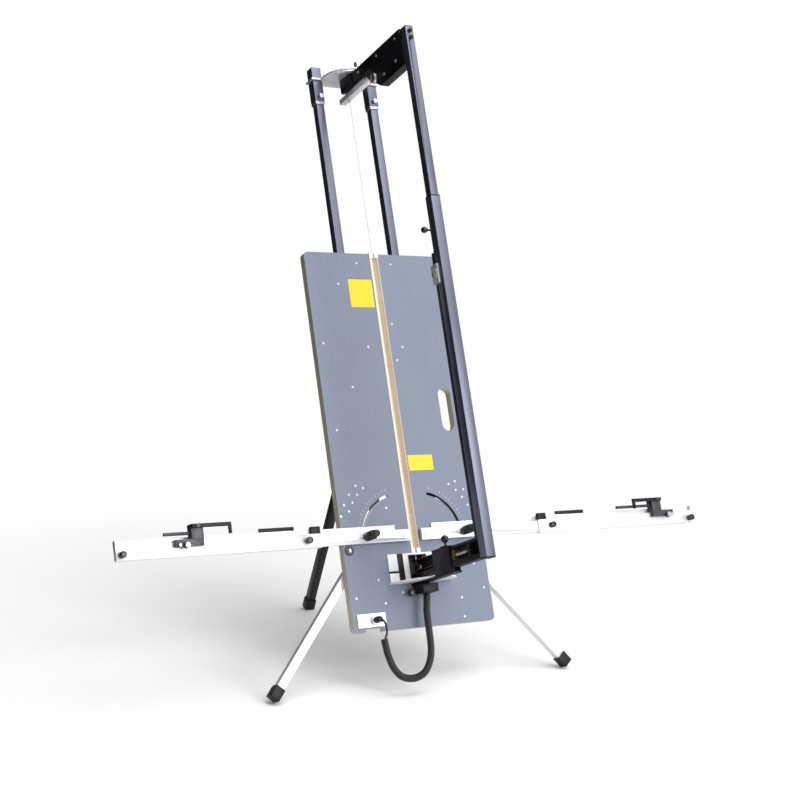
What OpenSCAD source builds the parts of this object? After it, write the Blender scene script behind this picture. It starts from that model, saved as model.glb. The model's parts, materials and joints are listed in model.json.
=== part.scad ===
// Hot-wire cutter for rigid foam boards, on a leaning plywood board with
// swinging rails, a sliding bow and three legs. Millimetres, +Z up.
// board_frame() places everything that is square to the leaning board:
// X across, -Y out of the board's front, Z up along the board.

/* [Stand] */
// Lean of the board back from upright, in degrees
lean = 25; // [15:1:30]
// Height of the board's lower edge above the floor
board_lift = 160; // [130:5:220]
// Angle of each front leg off the board's own upright, in degrees
leg_splay = 40.7; // [25:0.1:45]
// Angle of the rear leg off the back of the board, in degrees
rear_splay = 43.2; // [35:0.1:50]
// Width of the square leg tubes
leg_tube = 24; // [20:1:24]

/* [Board] */
// Width of the plywood board
board_w = 460; // [420:5:500]
// Length of the plywood board
board_h = 1100; // [1000:10:1150]
// Thickness of the plywood board
board_t = 24; // [21:1:27]

/* [Bow] */
// Front face of the bow's tube, out from the board's front face
bow_reach = 374; // [350:1:400]
// Width of the lower square tube of the bow
bow_tube = 30; // [28:1:32]
// Width of the upper square tube of the bow
bow_top_tube = 25; // [22:1:25]
// Top of the bow above the board's lower edge
bow_top = 1650; // [1600:10:1700]
// Depth of the wire's rest place behind the board's front face
wire_back = 6; // [4:0.5:8]

/* [Rails] */
// Length of each rail section that is pinned to the board
inner_rail_l = 460; // [400:10:500]
// Length of each rail section that slides out
outer_rail_l = 588; // [500:1:650]
// Where the left sliding section starts, from the middle
left_out = 300; // [250:5:420]
// Where the right sliding section starts, from the middle
right_out = 425; // [250:5:445]
// Place of the left stop, from the middle
left_stop_at = 682; // [500:1:850]
// Place of the right stop, from the middle
right_stop_at = 880; // [600:5:960]
// Radius of the arc slots about the rail pivots
arc_r = 124; // [110:1:135]

/* [Hidden] */
$fn = 48;
pin_gap = 0.05;            // gap round a turning pin
mast_x = 93;               // middle of each mast
mast_w = 25;
mast_back = board_t + mast_w;
mast_top = 1694;
extension_w = 31;            // sleeve over each mast's top
extension_top = 1698;
rear_pivot_z = 835;
rear_pivot_y = mast_back + 22;
leg_pivot_x = 130;
leg_pivot_z = 262;
leg_y = board_t + 0.5 + leg_tube / 2;
plate_z = 1656;            // underside of the top protractor
disc_z = 125;              // underside of the bottom protractor
rail_pivot_x = 36;
rail_pivot_z = 256;
clamp_a = 2;               // arc clamp's angle when the rail is level
rail_end_gap = 20;
arm_rear = 20;             // how far the bow's lower arm runs behind the face
pulley_z = 168;
pulley_r = 8.5;
wire_r = 0.6;
wire_top = 1596;
sides = [-1, 1];
bow_foot = 134;            // lower end of the bow's tube
// The origin is under the middle of the whole stand
front_y = bow_foot * sin(lean) - bow_reach * cos(lean);
back_y = extension_top * sin(lean) + (board_t + mast_w / 2 + extension_w / 2) * cos(lean);
datum = [(left_out - right_out) / 2, -(front_y + back_y) / 2, 0];

// Dots that mark the rail angles, as radius and angle about the rail's pivot
index_dots = [for (i = [0:3]) each [[200, 20 + 10 * i], [180, 27 + 9 * i]]];
screw_places = [
    [-60, 1070], [55, 1070], [-130, 1005], [30, 885], [-60, 815], [55, 815], [30, 775], [-205, 825],
    [-130, 695], [-200, 570], [-76, 342], [-133, 141], [-210, 95], [-120, 75], [-60, 101],
    [187, 167], [130, 72], [130, 18], [210, 95]
];
// Routes of the hose and of the cable inside it, in the board's frame
hose_points = [
    [-8, -38, 87], [-8.2, -38, 82], [-12, -39, 62], [-16.2, -39, 39], [-18, -40, 0], [-18.7, -40, -46],
    [-21.4, -38, -77], [-30, -36, -103], [-46.5, -33, -126], [-69.6, -31, -137], [-93.3, -29, -138],
    [-118, -28, -130], [-135, -26, -110], [-145, -25, -86], [-151, -24, -57], [-154.4, -24, -24]
];
cable_points = [
    [-149, -24, -22.9], [-148.9, -24, -20], [-144.5, -24.8, -12], [-143, -26.2, 0], [-145, -27.6, 14],
    [-148.4, -28, 24.1], [-151, -28, 25.4]
];

module board_frame()
    translate(datum)
        translate([0, 0, board_lift])
            rotate([-lean, 0, 0])
                children();

// Box from corner to corner
module span(a, b)
    translate([min(a.x, b.x), min(a.y, b.y), min(a.z, b.z)])
        cube([abs(b.x - a.x), abs(b.y - a.y), abs(b.z - a.z)]);

// Square tube standing along Z
module square_tube(w, wall, z0, z1)
    difference() {
        translate([-w / 2, -w / 2, z0])
            cube([w, w, z1 - z0]);
        translate([-w / 2 + wall, -w / 2 + wall, z0 - 1])
            cube([w - 2 * wall, w - 2 * wall, z1 - z0 + 2]);
    }

// Round bar along the board's front-to-back line, from y0 to y1
module bar_y(r, y0, y1)
    translate([0, y0, 0])
        rotate([-90, 0, 0])
            cylinder(r = r, h = y1 - y0);

// Round bar along X, from x0 to x1
module bar_x(r, x0, x1)
    translate([x0, 0, 0])
        rotate([0, 90, 0])
            cylinder(r = r, h = x1 - x0);

// Plate with rounded corners, in the board's plane
module rounded_plate(w, h, r, y0, y1) {
    span([-w / 2 + r, y0, 0], [w / 2 - r, y1, h]);
    span([-w / 2, y0, r], [w / 2, y1, h - r]);
    for (x = sides * (w / 2 - r), z = [r, h - r])
        translate([x, 0, z])
            bar_y(r, y0, y1);
}

// Curved slot with round ends about the origin, in the board's plane
function compass(a) = [cos(a), sin(a)];
module arc_slot(r, w, a0, a1, y0, y1) {
    steps = 30;
    function along(i) = a0 + (a1 - a0) * i / steps;
    translate([0, y1, 0])
        rotate([90, 0, 0])
            linear_extrude(y1 - y0)
                polygon(concat(
                    [for (i = [0:steps]) (r + w / 2) * compass(along(i))],
                    [for (i = [1:7]) r * compass(a1) + w / 2 * compass(a1 + 22.5 * i)],
                    [for (i = [steps:-1:0]) (r - w / 2) * compass(along(i))],
                    [for (i = [1:7]) r * compass(a0) + w / 2 * compass(a0 + 180 + 22.5 * i)]
                ));
}

// Puts children at a rail's pivot, mirrored for the left side
module at_rail_pivot(side)
    translate([side * rail_pivot_x, 0, rail_pivot_z])
        scale([side, 1, 1])
            children();

// Points of a route with more points laid between them on a smooth curve
function bend(p, i, t) =
    let (a = p[max(i - 1, 0)], b = p[i], c = p[i + 1], d = p[min(i + 2, len(p) - 1)])
    0.5 * (2 * b + t * (c - a) + t * t * (2 * a - 5 * b + 4 * c - d) + t * t * t * (3 * b - a - 3 * c + d));
function smooth_route(p, steps) =
    concat([for (i = [0:len(p) - 2], k = [0:steps - 1]) bend(p, i, k / steps)], [p[len(p) - 1]]);
function unit(v) = v / norm(v);

// Tube swept along a route that lies near the board's plane
module swept_tube(route, r, n) {
    last = len(route) - 1;
    function side_of(i) = unit(route[min(i + 1, last)] - route[max(i - 1, 0)]);
    function ring(i) =
        let (t = side_of(i), u = unit(cross(t, [0, 1, 0])), v = cross(t, u))
        [for (k = [0:n - 1]) route[i] + r * (cos(360 * k / n) * u + sin(360 * k / n) * v)];
    polyhedron(
        points = [for (i = [0:last]) each ring(i)],
        faces = concat(
            [[for (k = [0:n - 1]) k]],
            [for (i = [0:last - 1], k = [0:n - 1])
                [i * n + k, (i + 1) * n + k, (i + 1) * n + (k + 1) % n, i * n + (k + 1) % n]],
            [[for (k = [n - 1:-1:0]) last * n + k]]
        )
    );
}

// ---------------------------------------------------------------- board

module backboard()
    color("#8d96a8")
        board_frame()
            difference() {
                rounded_plate(board_w, board_h, 14, 0, board_t);
                // groove for the battens
                span([-14.3, -1, 205], [14.3, 12.2, board_h + 1]);
                // window for the bow's lower arm
                span([-30, -1, 112], [30, board_t + 1, 205.2]);
                // carrying slot
                span([152, -1, 581], [194, board_t + 1, 670]);
                for (z = [581, 670])
                    translate([173, 0, z])
                        bar_y(21, -1, board_t + 1);
                // notch over the power inlet
                span([-194, -1, -1], [-137, board_t + 1, 10]);
                for (s = sides)
                    at_rail_pivot(s) {
                        arc_slot(arc_r, 8.4, -3, 76, -1, 15);
                        arc_slot(arc_r, 18, -3, 76, 14, board_t + 1);
                        bar_y(4 + pin_gap, -1, board_t + 1);
                        bar_y(9, 14, board_t + 1);
                        for (d = index_dots)
                            translate([d[0] * cos(d[1]), 0, d[0] * sin(d[1])])
                                bar_y(1.75, -1, 10);
                    }
                for (p = screw_places)
                    translate([p.x, 0, p.y])
                        bar_y(1.75, -1, 10);
            }

module batten_piece(z0, z1)
    translate([0, 0, z0])
        linear_extrude(z1 - z0)
            polygon([[-14, 12], [-14, -1], [-11, -1], [0, 9], [11, -1], [14, -1], [14, 12]]);

module battens()
    color("#e3c79a")
        board_frame() {
            batten_piece(223, 445);
            batten_piece(445.6, 757.6);
            batten_piece(758.2, 1088);
        }

module batten_caps()
    color("#e9ebee")
        board_frame()
            for (z = [[209.3, 222.7], [1088.3, 1104]])
                difference() {
                    span([-15, -2, z[0]], [15, 12, z[1]]);
                    span([-3, -3, z[0] - 1], [3, 9, z[1] + 1]);
                    // the sides fit the groove and a lip covers its edges
                    for (s = sides)
                        span([s * 14.2, 0, z[0] - 1], [s * 16, 13, z[1] + 1]);
                }

module screw_heads()
    color("#e8eaee")
        board_frame() {
            for (p = screw_places)
                translate([p.x, 0, p.y])
                    small_screw();
            for (s = sides)
                at_rail_pivot(s)
                    for (d = index_dots)
                        translate([d[0] * cos(d[1]), 0, d[0] * sin(d[1])])
                            small_screw();
        }

module small_screw() {
    bar_y(3.4, -0.3, 0);
    bar_y(1.7, 0, 9.5);
}

module warning_labels()
    color("#f5dc2f")
        board_frame() {
            span([-97, -0.25, 935], [-19, 0, 1020]);
            span([18, -0.25, 446], [100, 0, 491]);
        }

module power_inlet()
    color("#d9dcdf")
        board_frame() {
            difference() {
                span([-216, -3, 13], [-128, 0, 50]);
                for (x = [-209, -135], z = [20, 43])
                    translate([x, 0, z])
                        bar_y(2, -4, 1);
                translate([-163, 0, 31])
                    bar_y(9, -4, 1);
            }
            translate([-163, 0, 31]) {
                difference() {
                    bar_y(13, -12, -2.98);
                    bar_y(9, -13, -2);
                }
                bar_y(9, -4, 0);
            }
        }

// ------------------------------------------------------- masts and head

module masts()
    color("#2d3034")
        board_frame()
            for (s = sides)
                translate([s * mast_x, board_t + mast_w / 2, 0])
                    square_tube(mast_w, 2, 60, mast_top);

module mast_extensions()
    color("#34383c")
        board_frame()
            for (s = sides)
                translate([s * mast_x, board_t + mast_w / 2, 0])
                    square_tube(extension_w, 2.8, 1590, extension_top);

module mast_collars()
    color("#c9cdd1")
        board_frame()
            for (s = sides)
                translate([s * mast_x, board_t + mast_w / 2, 0]) {
                    difference() {
                        translate([-15, -15, 1580])
                            cube([30, 30, 9.7]);
                        translate([-mast_w / 2 - 0.1, -mast_w / 2 - 0.1, 1579])
                            cube([mast_w + 0.2, mast_w + 0.2, 12]);
                    }
                    translate([0, 0, 1602]) {
                        bar_y(3, -22, -15.55);
                        bar_y(7, -29, -22);
                    }
                }

module head_plate()
    color("#d5d8db")
        board_frame()
            difference() {
                union() {
                    span([-114, 15, plate_z], [114, 58, plate_z + 5]);
                    translate([0, wire_back, plate_z])
                        difference() {
                            cylinder(r = 85, h = 5, $fn = 96);
                            translate([-90, 14.5, -1])
                                cube([180, 90, 7]);
                        }
                }
                for (s = sides)
                    translate([s * mast_x, board_t + mast_w / 2, plate_z + 2])
                        cube([extension_w + 0.2, extension_w + 0.2, 12], center = true);
                translate([0, wire_back, plate_z - 1]) {
                    cylinder(r = 5 + pin_gap, h = 8);
                    rotate([0, 0, 220])
                        rotate_extrude(angle = 100, $fn = 120)
                            translate([69, 0])
                                square([10, 8]);
                    for (a = [205:15:335])
                        rotate([0, 0, a])
                            translate([60, 0, 0])
                                cylinder(r = 2, h = 8);
                }
            }

module rear_crossbar()
    color("#2d3034")
        board_frame()
            difference() {
                union() {
                    span([-106, mast_back, rear_pivot_z - 22], [106, mast_back + 4, rear_pivot_z + 22]);
                    for (s = sides)
                        translate([0, 0, rear_pivot_z]) {
                            span([s * 12.6, mast_back + 3, -15], [s * 16.6, rear_pivot_y, 15]);
                            translate([0, rear_pivot_y, 0])
                                bar_x(15, min(s * 12.6, s * 16.6), max(s * 12.6, s * 16.6));
                        }
                }
                translate([0, rear_pivot_y, rear_pivot_z])
                    bar_x(4, -20, 20);
            }

module leg_plate()
    color("#2d3034")
        board_frame()
            difference() {
                union() {
                    span([-155, mast_back, leg_pivot_z - 22], [155, mast_back + 4, leg_pivot_z + 22]);
                    // cover behind the window
                    span([-70, mast_back, 100], [76, mast_back + 4, leg_pivot_z]);
                }
                for (s = sides)
                    translate([s * leg_pivot_x, 0, leg_pivot_z])
                        bar_y(5, mast_back - 1, mast_back + 5);
            }

module leg_pins()
    color("#c9cdd1")
        board_frame() {
            for (s = sides)
                translate([s * leg_pivot_x, 0, leg_pivot_z]) {
                    bar_y(5, board_t, mast_back + 4);
                    bar_y(9, mast_back + 4, mast_back + 10);
                }
            translate([0, rear_pivot_y, rear_pivot_z]) {
                bar_x(4, -17, 17);
                bar_x(7, 16.62, 21);
                bar_x(7, -21, -16.62);
            }
        }

// ----------------------------------------------------------------- legs

front_leg_l = (board_lift + leg_pivot_z * cos(lean) - leg_y * sin(lean)) / (cos(leg_splay) * cos(lean));
foot_floor = 4;             // thickness of a cap's floor
front_lift = 17.8;          // how far along the leg a cap ends above the floor
rear_lift = 1.9;
rear_leg_l = (board_lift + rear_pivot_z * cos(lean) - rear_pivot_y * sin(lean)) / cos(rear_splay - lean);

// Leg frame: pivot at the origin, foot straight down
module front_leg_frame(side)
    board_frame()
        translate([side * leg_pivot_x, leg_y, leg_pivot_z])
            rotate([0, -side * leg_splay, 0])
                children();

module rear_leg_frame()
    board_frame()
        translate([0, rear_pivot_y, rear_pivot_z])
            rotate([rear_splay, 0, 0])
                children();

module leg_foot(l, lift)
    difference() {
        translate([-15, -15, -l + lift])
            cube([30, 30, 36]);
        translate([-leg_tube / 2 - 0.05, -leg_tube / 2 - 0.05, -l + lift + foot_floor])
            cube([leg_tube + 0.1, leg_tube + 0.1, 60]);
    }

module above_floor()
    intersection() {
        children();
        translate([-1500, -1500, 0])
            cube([3000, 3000, 2500]);
    }

module front_leg(side)
    color("#dfe2e5")
        front_leg_frame(side)
            difference() {
                square_tube(leg_tube, 2, -front_leg_l + front_lift + foot_floor, 16);
                bar_y(5 + pin_gap, -20, 20);
            }

module front_foot(side)
    color("#1f2022")
        above_floor()
            front_leg_frame(side)
                leg_foot(front_leg_l, front_lift);

module left_leg() front_leg(-1);
module right_leg() front_leg(1);
module left_foot() front_foot(-1);
module right_foot() front_foot(1);

module rear_leg()
    color("#2d3034")
        rear_leg_frame()
            difference() {
                square_tube(leg_tube, 2, -rear_leg_l + rear_lift + foot_floor, 12);
                bar_x(4 + pin_gap, -20, 20);
            }

module rear_foot()
    color("#1f2022")
        above_floor()
            rear_leg_frame()
                leg_foot(rear_leg_l, rear_lift);

// ------------------------------------------------ lower bracket on board

module lower_bracket()
    color("#e9ebee")
        board_frame()
            difference() {
                span([-96, -3.3, disc_z + 3.2], [62, -0.02, 209]);
                span([-30, -4, disc_z], [30, 1, 204]);
                span([-66, -4, disc_z], [-47, 1, 210]);
                span([-97, -4, 155], [-66, 1, 161]);
                translate([46, 0, 197])
                    bar_y(3, -4, 1);
            }

module lower_protractor()
    color("#dfe2e5")
        board_frame()
            translate([0, wire_back, disc_z])
                difference() {
                    union() {
                        difference() {
                            cylinder(r = 106, h = 3, $fn = 96);
                            translate([-120, -wire_back - 0.02, -1])
                                cube([240, 200, 5]);
                        }
                        translate([-29.6, -wire_back - 1, 0])
                            cube([59.2, 22, 3]);
                    }
                    translate([0, 0, -1])
                        cylinder(r = 5 + pin_gap, h = 5);
                    for (a = [200:10:340])
                        rotate([0, 0, a])
                            translate([96, 0, -1])
                                cylinder(r = 1.6, h = 5);
                }

module bracket_knob()
    color("#2a2e3a")
        board_frame()
            translate([-40, 0, 97]) {
                bar_y(4, -6, -0.02);
                bar_y(10, -24, -6);
            }

module hose_gland()
    color("#3a3d40")
        board_frame() {
            span([-24, -52, 91], [26, -0.02, 115]);
            translate([-8, -38, 88])
                cylinder(r = 12, h = 3);
        }

module hose()
    color("#1b1c1e")
        board_frame()
            swept_tube(smooth_route(hose_points, 4), 10.5, 12);

module cable()
    color("#141416")
        board_frame()
            swept_tube(smooth_route(cable_points, 3), 3, 8);

module plug()
    color("#1b1c1e")
        board_frame() {
            translate([-163, 0, 31])
                bar_y(8.6, -36, -5.2);
            translate([-163, -28, 31])
                rotate([0, 115, 0])
                    cylinder(r = 5, h = 12.5);
        }

// --------------------------------------------------------------- swivels

// Open rail that holds the bow's upper arm; it turns with the bow
module top_guide()
    color("#3b3e44")
        board_frame() {
            difference() {
                span([-14, 25, 1619.5], [14, -340, 1655.6]);
                span([-11.5, 26, 1622], [11.5, -341, 1653]);
                span([-4.5, 26, 1619], [4.5, -341, 1623]);
            }
            // thick cheeks at the swivel
            for (s = sides)
                span([s * 13.9, 15, 1616], [s * 21, -45, 1655.6]);
            translate([0, wire_back, 1655]) {
                cylinder(r = 5, h = 12);
                translate([0, 0, 6.4])
                    cylinder(r = 10, h = 6);
            }
        }

module top_angle_knob()
    color("#6b6f75")
        board_frame()
            translate([0, -68, 0]) {
                translate([0, 0, 1655.62])
                    cylinder(r = 2.2, h = 10);
                translate([0, 0, plate_z + 5.4])
                    cylinder(r = 9, h = 20);
            }

module bottom_guide()
    color("#3b3e44")
        board_frame() {
            span([-16, 22, disc_z - 5.5], [16, -200, disc_z - 0.5]);
            span([-3.5, -105, disc_z - 1], [3.5, -185, 137]);
            span([-9, -20, 136.4], [9, -330, 146.4]);
            translate([0, wire_back, disc_z - 1]) {
                cylinder(r = 5, h = 6);
                translate([0, 0, 4.4])
                    cylinder(r = 8, h = 3.4);
            }
        }

module guide_clamp()
    color("#dfe2e5")
        board_frame() {
            for (s = sides) {
                span([s * 13, -108, disc_z - 0.5], [s * 16, -196, 196]);
                // the wire passes between the two flanges
                span([s * 3, -108, 193], [s * 16, -196, 196]);
            }
            span([-27, -171, 193], [-12, -196, 196]);
        }

// Ball on a stem, with the stem's foot at the origin and the ball above it
module ball_knob(stem_r, stem_l, ball_r) {
    cylinder(r = stem_r, h = stem_l + 1);
    translate([0, 0, stem_l + ball_r])
        sphere(r = ball_r);
}

module slide_lock_knob()
    color("#1c1d20")
        board_frame()
            translate([-14.5, -184, 196.02])
                ball_knob(3.5, 8, 11);

// ------------------------------------------------------------------- bow

bow_y = -bow_reach + bow_tube / 2;
bow_back = -bow_reach + bow_tube;

module bow_lower_tube()
    color("#2f3237")
        board_frame()
            translate([0, bow_y, 0])
                square_tube(bow_tube, 2.2, bow_foot, 1140);

module bow_upper_tube()
    color("#2f3237")
        board_frame()
            translate([0, bow_y, 0]) {
                square_tube(bow_top_tube, 2, 1000, bow_top);
                for (z = [1615, 1636])
                    translate([0, 0, z])
                        bar_y(4, -bow_top_tube / 2 - 4, -bow_top_tube / 2 + 0.5);
            }

module upper_gusset()
    color("#202226")
        board_frame()
            difference() {
                gusset_outline(14, 0);
                gusset_outline(11.5, 3);
            }

module gusset_outline(half_w, inset)
    translate([half_w, 0, 0])
        rotate([90, 0, -90])
            linear_extrude(2 * half_w)
                polygon([
                    [105 + 3.6 * inset, 1618.9 - inset],
                    [200 + inset, 1545 + inset],
                    [-bow_back + 2.48 - inset, 1545 + inset],
                    [-bow_back + 2.48 - inset, 1618.9 - inset]
                ]);

// Bar that holds the wire's top end, with the runner that slides in the guide
module wire_bar()
    color("#e9ebee")
        board_frame() {
            difference() {
                span([-10, 50, wire_top], [10, -104.8, 1612]);
                span([-8, 51, wire_top + 2], [8, -103, 1610]);
            }
            span([-4, 20, 1611], [4, -104.8, 1623]);
            span([-4, -104, 1618.92], [4, -150, 1623]);
            span([-11.1, 20, 1622.4], [11.1, -150, 1648]);
        }

module depth_knob()
    color("#d0d3d7")
        board_frame()
            translate([0, -180, 1578]) {
                bar_x(4, -16, -14.02);
                bar_x(12.5, -25, -16);
            }

module lower_arm()
    color("#222428")
        board_frame() {
            // pulley's axle
            translate([0, wire_back - pulley_r, pulley_z]) {
                bar_x(2, -5.5, 9.6);
                bar_x(4, -7.5, -4.3);
            }
            difference() {
                union() {
                    // open channel for the wire's end and its spring
                    span([-12.5, arm_rear, 185], [12.5, bow_back, 188]);
                    span([-12.5, arm_rear, 146.8], [12.5, bow_back, 150]);
                    span([9.5, arm_rear, 149], [12.5, bow_back, 186]);
                    // skirt that runs on the guide bar
                    for (s = sides) {
                        span([s * 9.4, arm_rear, 134], [s * 12.5, bow_back, 148]);
                        span([s * 4, arm_rear, 134], [s * 12.5, bow_back, 136]);
                    }
                    span([-12, -205, 187], [12, bow_back, 192]);
                    span([-10, -282, 149], [10, -292, 186]);
                }
                // room for the wire above its pulley
                span([-3, arm_rear + 1, 184], [3, 2, 190]);
            }
        }

module wire_duct()
    color("#202226")
        board_frame()
            difference() {
                span([-12, bow_back, 193], [12, bow_back + 17, 985]);
                span([-10, bow_back - 1, 195], [10, bow_back + 15, 983]);
            }

module switch_box()
    color("#c7cacd")
        board_frame()
            difference() {
                union() {
                    span([-15.05, bow_back - 14, 893], [-20, bow_back + 18, 948]);
                    span([-12.05, bow_back + 0.1, 893], [-16, bow_back + 18, 948]);
                }
                translate([0, bow_back + 6, 920])
                    bar_x(6 + 0.3, -21, -11);
                span([-21, bow_back - 11, 908], [-11, bow_back - 3, 934]);
            }

module push_button()
    color("#c9a24a")
        board_frame()
            translate([0, bow_back + 6, 920])
                bar_x(6, -25, -16);

module rocker_switch()
    color("#f2f2f0")
        board_frame()
            translate([-18.5, bow_back - 7, 921])
                rotate([90, 0, 0])
                    linear_extrude(7, center = true)
                        difference() {
                            polygon([[1.5, -11], [-2.5, -12], [-1.3, 0], [-3.6, 12], [1.5, 11]]);
                            circle(r = 0.7, $fn = 24);
                        }

module bow_clamp_knob()
    color("#26282b")
        board_frame()
            translate([-15.02, bow_y, 1042])
                rotate([0, -90, 0])
                    ball_knob(3, 20, 9);

module cutting_wire()
    color("#b9bcc0")
        board_frame() {
            translate([0, wire_back, pulley_z])
                cylinder(r = wire_r, h = wire_top - pulley_z, $fn = 12);
            translate([0, wire_back, wire_top - 9])
                cylinder(r = 3.5, h = 9);
            translate([0, wire_back - pulley_r, pulley_z - pulley_r])
                bar_y(wire_r, -192 + pulley_r - wire_back, 0, $fn = 12);
            // quarter turn under the pulley
            translate([0, wire_back - pulley_r, pulley_z])
                rotate([0, 90, 0])
                    rotate_extrude(angle = 90, $fn = 48)
                        translate([pulley_r, 0])
                            circle(r = wire_r, $fn = 12);
        }

module wire_pulley()
    color("#c9a24a")
        board_frame()
            translate([0, wire_back - pulley_r, pulley_z])
                rotate([0, 90, 0])
                    difference() {
                        union() {
                            rotate_extrude()
                                polygon([[0, -4], [10, -4], [pulley_r - 0.9, -1], [pulley_r - 0.9, 1], [10, 4], [0, 4]]);
                            cylinder(r = 4, h = 9.3);
                        }
                        translate([0, 0, -5])
                            cylinder(r = 2 + pin_gap, h = 20);
                    }

module wire_tensioner()
    color("#d9b98a")
        board_frame()
            difference() {
                span([-8, -192, 153], [8, -208, 182]);
                translate([0, 0, 168])
                    bar_y(1.5, -209, -200);
            }

module tension_spring()
    color("#d9dce0")
        board_frame()
            translate([0, 0, 168]) {
                difference() {
                    bar_y(7.5, -274, -214);
                    bar_y(5.5, -275, -213);
                }
                bar_y(1.2, -216, -208);
                bar_y(1.2, -282, -272);
                for (y = [-274, -216])
                    span([-6.5, y, -1.2], [6.5, y + 2, 1.2]);
            }

// ----------------------------------------------------------------- rails

// Hollow inner rail with the upstand that the foam leans on
module inner_rail(side)
    color("#e4e7ea")
        board_frame() {
            rail_pins(side);
            difference() {
                union() {
                    span([side * rail_end_gap, -2.8, 243], [side * (rail_end_gap + inner_rail_l), -14.4, 276]);
                    span([side * 60, -2.8, 275], [side * (rail_end_gap + inner_rail_l), -4.8, 291]);
                    at_rail_pivot(side) {
                        bar_y(9, -3, -0.4);
                        clamp_place()
                            bar_y(9, -3, -0.4);
                    }
                }
                span([side * (rail_end_gap - 1), -4.8, 245], [side * (rail_end_gap + inner_rail_l + 1), -12.4, 274]);
                at_rail_pivot(side) {
                    bar_y(3.9, -20, 1);
                    clamp_place()
                        bar_y(3.9, -20, 1);
                }
            }
        }

module clamp_place()
    translate([arc_r * cos(clamp_a), 0, arc_r * sin(clamp_a)])
        children();

// Pivot screw and clamp bolt, with their nuts sunk in the board's back
module rail_pins(side)
    at_rail_pivot(side) {
        bar_y(4, -14.4, 22.5);
        bar_y(6.5, -17, -14.4);
        bar_y(7.5, 15.5, 22.5);
        clamp_place() {
            bar_y(4, -17, 22.5);
            bar_y(8, 15.5, 22.5);
        }
    }

// Ribbed knob that locks a rail in its arc slot
module arc_knob(side)
    color("#2a2e3a")
        board_frame()
            at_rail_pivot(side)
                clamp_place()
                    union() {
                        bar_y(12, -62, -17.3);
                        bar_y(9.5, -78, -62);
                        for (a = [0:30:330])
                            rotate([0, a, 0])
                                translate([11.5, 0, 0])
                                    bar_y(1.6, -60, -19);
                    }

module outer_rail(side, from)
    color("#eceef0")
        board_frame() {
            rail_box(side, from, -0.4, -2.4, 240.6, 293);
            rail_box(side, from, -0.4, -16.8, 240.6, 242.6);
            rail_box(side, from, -14.8, -16.8, 240.6, 278.4);
            rail_box(side, from, -5.2, -18.8, 276.4, 278.4);
            // stiffening strip on the upstand
            span([side * (from + 75), -0.4, 293], [side * (from + 180), -3.4, 303]);
            // closed end
            span([side * (from + outer_rail_l), -0.4, 240.6], [side * (from + outer_rail_l + 2), -16.8, 293]);
            // block over the inner end
            span([side * (from + 2), -5.4, 278.3], [side * (from + 30), -16, 298]);
        }

module rail_box(side, from, y0, y1, z0, z1)
    span([side * from, y0, z0], [side * (from + outer_rail_l), y1, z1]);

// Small black knob on the front of an outer rail
module rail_knob(side, at, r, l, z)
    color("#1c1d20")
        board_frame()
            translate([side * at, 0, z]) {
                bar_y(3, -19, -16.82);
                bar_y(r, -19 - l, -19);
            }

module stop_block(side, at, rod_side)
    color("#55585e")
        board_frame() {
            // pin that the arm turns on
            translate([side * (at - 13), 0, 316]) {
                bar_y(3, -42.4, -20);
                bar_y(5, -45, -42.4);
            }
            difference() {
                union() {
                    span([side * (at - 30), -5.6, 278.8], [side * (at + 50), -32, 283]);
                    span([side * (at - 30), -19.2, 264], [side * (at + 50), -32, 283]);
                    span([side * (at - 30), -8, 282], [side * (at + 4), -34, 322]);
                }
                translate([side * (at - 13), 0, 316])
                    bar_y(3, -40, -20);
            }
            translate([side * (rod_side > 0 ? at + 3 : at - 160), -20, 300])
                rotate([0, side * 90, 0])
                    cylinder(r = 4.5, h = rod_side > 0 ? 73 : 131);
            // screw and knob that hold it to the rail
            translate([side * (at + 40), 0, 268])
                bar_y(4.5, -38, -31);
            translate([side * (at + 22), 0, 266])
                bar_y(8, -46, -31);
        }

module stop_arm(side, at)
    color("#1c1d20")
        board_frame()
            difference() {
                union() {
                    span([side * (at - 108), -34.4, 311], [side * (at + 3), -42, 321]);
                    span([side * (at - 108), -34.4, 291], [side * (at - 100), -42, 321]);
                }
                translate([side * (at - 13), 0, 316])
                    bar_y(3 + pin_gap, -50, -30);
            }

module left_inner_rail() inner_rail(-1);
module right_inner_rail() inner_rail(1);
module left_arc_knob() arc_knob(-1);
module right_arc_knob() arc_knob(1);
module left_outer_rail() outer_rail(-1, left_out);
module right_outer_rail() outer_rail(1, right_out);
module left_rail_knob() rail_knob(-1, left_out + 44, 9, 16, 260);
module right_rail_knob() rail_knob(1, right_out + 44, 9, 16, 260);
module left_end_knob() rail_knob(-1, left_out + outer_rail_l - 12, 9, 18, 254);
module right_end_knob() rail_knob(1, right_out + outer_rail_l - 12, 9, 18, 254);
module left_stop() stop_block(-1, left_stop_at, 1);
module right_stop() stop_block(1, right_stop_at, -1);
module left_stop_arm() stop_arm(-1, left_stop_at);
module right_stop_arm() stop_arm(1, right_stop_at);

backboard();
battens();
batten_caps();
screw_heads();
warning_labels();
power_inlet();
masts();
mast_extensions();
mast_collars();
head_plate();
rear_crossbar();
leg_plate();
leg_pins();
left_leg();
right_leg();
left_foot();
right_foot();
rear_leg();
rear_foot();
lower_bracket();
lower_protractor();
bracket_knob();
hose_gland();
hose();
cable();
plug();
top_guide();
top_angle_knob();
bottom_guide();
guide_clamp();
slide_lock_knob();
bow_lower_tube();
bow_upper_tube();
upper_gusset();
wire_bar();
depth_knob();
lower_arm();
wire_duct();
switch_box();
push_button();
rocker_switch();
bow_clamp_knob();
cutting_wire();
wire_pulley();
wire_tensioner();
tension_spring();
left_inner_rail();
right_inner_rail();
left_arc_knob();
right_arc_knob();
left_outer_rail();
right_outer_rail();
left_rail_knob();
right_rail_knob();
left_end_knob();
right_end_knob();
left_stop();
right_stop();
left_stop_arm();
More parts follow.
